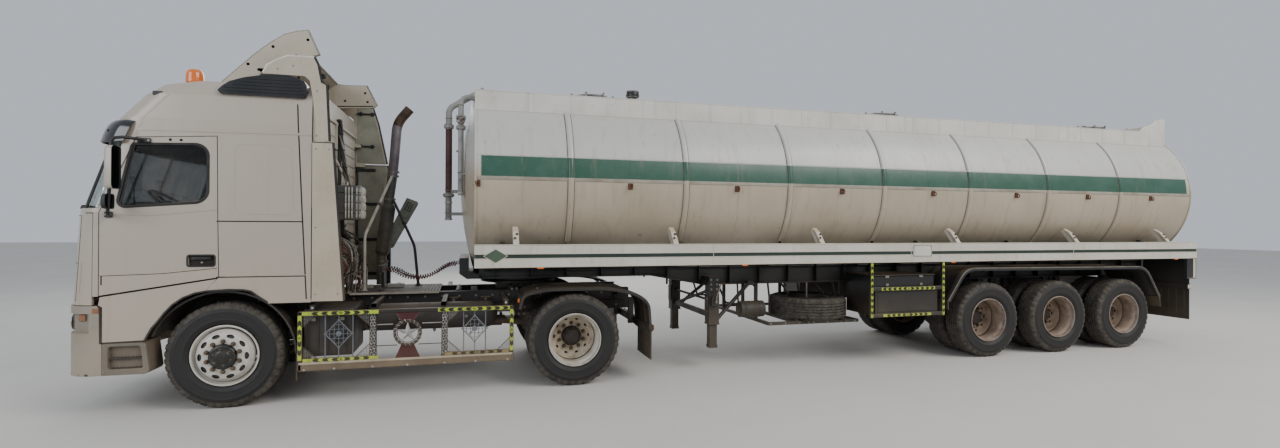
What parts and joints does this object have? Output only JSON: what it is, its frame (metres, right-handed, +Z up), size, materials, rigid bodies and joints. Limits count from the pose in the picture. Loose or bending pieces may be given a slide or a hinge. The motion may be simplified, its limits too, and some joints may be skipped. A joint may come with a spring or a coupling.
{
  "type": "articulated tanker truck: sleeper-cab tractor with a tank semi-trailer",
  "caption": "Articulated tanker truck with a hinged tank semi-trailer, steering front axle, opening cab doors and free-rolling wheels.",
  "frame": {"origin": "on the ground under the middle of the bounding box", "axes": "+X forward, +Y to the left side, +Z up"},
  "size_m": [15.12, 3, 3.905],
  "materials": {
    "air_cleaner": "dark grey ribbed plastic",
    "air_line_left": "coiled nylon air line",
    "air_line_right": "coiled nylon air line",
    "cab_interior": "dark interior trim",
    "cab_shell": "off-white cab paint, dusty",
    "chassis_frame": "black chassis paint, dusty",
    "deck_brackets": "grey steel",
    "door_glass_left": "dark tinted glass",
    "door_glass_right": "dark tinted glass",
    "door_left": "off-white cab paint, dusty",
    "door_right": "off-white cab paint, dusty",
    "drive_axle": "black, dusty",
    "drive_rims_left": "silver painted steel, dusty",
    "drive_rims_right": "silver painted steel, dusty",
    "drive_tyres_left": "dusty rubber",
    "drive_tyres_right": "dusty rubber",
    "engine_block": "grey cast iron",
    "exhaust_stack": "scorched grey steel",
    "fifth_wheel": "greased casting",
    "front_axle": "black, dusty",
    "front_bumper": "grey moulded plastic",
    "front_lamps": "clear and amber lenses",
    "front_panel": "off-white paint",
    "front_pipes": "grey painted pipe",
    "front_rim_left": "white painted steel",
    "front_rim_right": "white painted steel",
    "front_tyre_left": "dusty rubber",
    "front_tyre_right": "dusty rubber",
    "landing_legs": "black, dusty",
    "manholes": "grey steel, black vent cap",
    "mirror_left": "off-white mirror housing, black inside",
    "mirror_right": "off-white mirror housing, black inside",
    "mudguards": "black plastic",
    "rear_bumper": "black steel and rubber flaps",
    "roof_deflector": "off-white paint, chipped rear edge",
    "seats_and_bunk": "dark woven upholstery",
    "side_fairings": "off-white paint",
    "side_guards": "black tube frame with warning tape",
    "side_rails": "off-white paint with a green line",
    "side_tanks": "black painted steel",
    "spare_carrier": "black steel",
    "spare_tyre": "dusty rubber",
    "steering_knuckle_left": "bare casting",
    "steering_knuckle_right": "bare casting",
    "steering_wheel": "black rim",
    "step_panels": "grey moulded plastic",
    "tank_shell": "off-white paint with a green band, rust streaks",
    "tie_rod": "black steel tube",
    "trailer_axles": "black, dusty",
    "trailer_frame": "black chassis paint",
    "trailer_guards": "black steel with warning tape",
    "trailer_wheels_1_left": "dusty rubber on brown steel rims",
    "trailer_wheels_1_right": "dusty rubber on brown steel rims",
    "trailer_wheels_2_left": "dusty rubber on brown steel rims",
    "trailer_wheels_2_right": "dusty rubber on brown steel rims",
    "trailer_wheels_3_left": "dusty rubber on brown steel rims",
    "trailer_wheels_3_right": "dusty rubber on brown steel rims",
    "visor_and_intakes": "black plastic",
    "walkway_and_ladder": "off-white paint",
    "windscreen": "clear glass with a green tint"
  },
  "bodies": {
    "tractor": {"air_cleaner": "air_cleaner", "air_line_left": "air_line_left", "air_line_right": "air_line_right", "cab_interior": "cab_interior", "cab_shell": "cab_shell", "chassis_frame": "chassis_frame", "deck_brackets": "deck_brackets", "drive_axle": "drive_axle", "engine_block": "engine_block", "exhaust_stack": "exhaust_stack", "fifth_wheel": "fifth_wheel", "front_axle": "front_axle", "front_bumper": "front_bumper", "front_lamps": "front_lamps", "front_panel": "front_panel", "mudguards": "mudguards", "roof_deflector": "roof_deflector", "seats_and_bunk": "seats_and_bunk", "side_fairings": "side_fairings", "side_guards": "side_guards", "side_tanks": "side_tanks", "step_panels": "step_panels", "visor_and_intakes": "visor_and_intakes", "windscreen": "windscreen"},
    "trailer": {"trailer_frame": "trailer_frame", "side_rails": "side_rails", "tank_shell": "tank_shell", "walkway_and_ladder": "walkway_and_ladder", "manholes": "manholes", "front_pipes": "front_pipes", "landing_legs": "landing_legs", "spare_tyre": "spare_tyre", "spare_carrier": "spare_carrier", "trailer_guards": "trailer_guards", "trailer_axles": "trailer_axles", "rear_bumper": "rear_bumper"},
    "driver_door": {"door_left": "door_left", "door_glass_left": "door_glass_left", "mirror_left": "mirror_left"},
    "passenger_door": {"door_right": "door_right", "door_glass_right": "door_glass_right", "mirror_right": "mirror_right"},
    "steering_wheel": {"steering_wheel": "steering_wheel"},
    "knuckle_left": {"steering_knuckle_left": "steering_knuckle_left"},
    "knuckle_right": {"steering_knuckle_right": "steering_knuckle_right"},
    "tie_rod": {"tie_rod": "tie_rod"},
    "front_wheel_left": {"front_tyre_left": "front_tyre_left", "front_rim_left": "front_rim_left"},
    "drive_wheels_left": {"drive_tyres_left": "drive_tyres_left", "drive_rims_left": "drive_rims_left"},
    "trailer_axle_1_wheels_left": {"trailer_wheels_1_left": "trailer_wheels_1_left"},
    "trailer_axle_2_wheels_left": {"trailer_wheels_2_left": "trailer_wheels_2_left"},
    "trailer_axle_3_wheels_left": {"trailer_wheels_3_left": "trailer_wheels_3_left"},
    "front_wheel_right": {"front_tyre_right": "front_tyre_right", "front_rim_right": "front_rim_right"},
    "drive_wheels_right": {"drive_tyres_right": "drive_tyres_right", "drive_rims_right": "drive_rims_right"},
    "trailer_axle_1_wheels_right": {"trailer_wheels_1_right": "trailer_wheels_1_right"},
    "trailer_axle_2_wheels_right": {"trailer_wheels_2_right": "trailer_wheels_2_right"},
    "trailer_axle_3_wheels_right": {"trailer_wheels_3_right": "trailer_wheels_3_right"}
  },
  "joints": [
    {"name": "fifth_wheel_turn", "type": "hinge", "parent": "tractor", "child": "trailer", "pos_m": [3.21, 0, 1.187], "axis": [0, 0, 1], "range_deg": [-90, 90], "deforming": ["air_line_left", "air_line_right"]},
    {"name": "driver_door_hinge", "type": "hinge", "parent": "tractor", "child": "driver_door", "pos_m": [7.163, 1.24, 1.9], "axis": [0, 0, -1], "range_deg": [0, 80]},
    {"name": "passenger_door_hinge", "type": "hinge", "parent": "tractor", "child": "passenger_door", "pos_m": [7.163, -1.24, 1.9], "axis": [0, 0, 1], "range_deg": [0, 80]},
    {"name": "steering", "type": "hinge", "parent": "tractor", "child": "knuckle_left", "pos_m": [6.16, 0.855, 0.525], "axis": [0, 0, 1], "range_deg": [-38, 38]},
    {"name": "steering_right", "type": "hinge", "parent": "tractor", "child": "knuckle_right", "pos_m": [6.16, -0.855, 0.525], "axis": [0, 0, 1], "range_deg": [-38, 38]},
    {"name": "tie_rod_swivel", "type": "hinge", "parent": "knuckle_left", "child": "tie_rod", "pos_m": [5.82, 0.855, 0.36], "axis": [0, 0, 1], "range_deg": [-38, 38]},
    {"name": "steering_wheel_turn", "type": "hinge", "parent": "tractor", "child": "steering_wheel", "pos_m": [6.87273, 0.56, 2.04579], "axis": [-0.606, 0, 0.7954], "range_deg": [-570, 570]},
    {"name": "front_wheel_left_roll", "type": "hinge", "parent": "knuckle_left", "child": "front_wheel_left", "pos_m": [6.16, 1.046, 0.525], "axis": [0, 1, 0], "continuous": true},
    {"name": "drive_wheels_left_roll", "type": "hinge", "parent": "tractor", "child": "drive_wheels_left", "pos_m": [2.66, 0.908, 0.525], "axis": [0, 1, 0], "continuous": true},
    {"name": "trailer_axle_1_wheels_left_roll", "type": "hinge", "parent": "trailer", "child": "trailer_axle_1_wheels_left", "pos_m": [-3.245, 0.867, 0.525], "axis": [0, 1, 0], "continuous": true},
    {"name": "trailer_axle_2_wheels_left_roll", "type": "hinge", "parent": "trailer", "child": "trailer_axle_2_wheels_left", "pos_m": [-4.525, 0.867, 0.525], "axis": [0, 1, 0], "continuous": true},
    {"name": "trailer_axle_3_wheels_left_roll", "type": "hinge", "parent": "trailer", "child": "trailer_axle_3_wheels_left", "pos_m": [-5.805, 0.867, 0.525], "axis": [0, 1, 0], "continuous": true},
    {"name": "front_wheel_right_roll", "type": "hinge", "parent": "knuckle_right", "child": "front_wheel_right", "pos_m": [6.16, -1.046, 0.525], "axis": [0, 1, 0], "continuous": true},
    {"name": "drive_wheels_right_roll", "type": "hinge", "parent": "tractor", "child": "drive_wheels_right", "pos_m": [2.66, -0.908, 0.525], "axis": [0, 1, 0], "continuous": true},
    {"name": "trailer_axle_1_wheels_right_roll", "type": "hinge", "parent": "trailer", "child": "trailer_axle_1_wheels_right", "pos_m": [-3.245, -0.867, 0.525], "axis": [0, 1, 0], "continuous": true},
    {"name": "trailer_axle_2_wheels_right_roll", "type": "hinge", "parent": "trailer", "child": "trailer_axle_2_wheels_right", "pos_m": [-4.525, -0.867, 0.525], "axis": [0, 1, 0], "continuous": true},
    {"name": "trailer_axle_3_wheels_right_roll", "type": "hinge", "parent": "trailer", "child": "trailer_axle_3_wheels_right", "pos_m": [-5.805, -0.867, 0.525], "axis": [0, 1, 0], "continuous": true}
  ],
  "couplings": [
    {"joint": "steering_right", "follows": "steering", "ratio": 1},
    {"joint": "tie_rod_swivel", "follows": "steering", "ratio": -1},
    {"joint": "steering_wheel_turn", "follows": "steering", "ratio": 15}
  ]
}
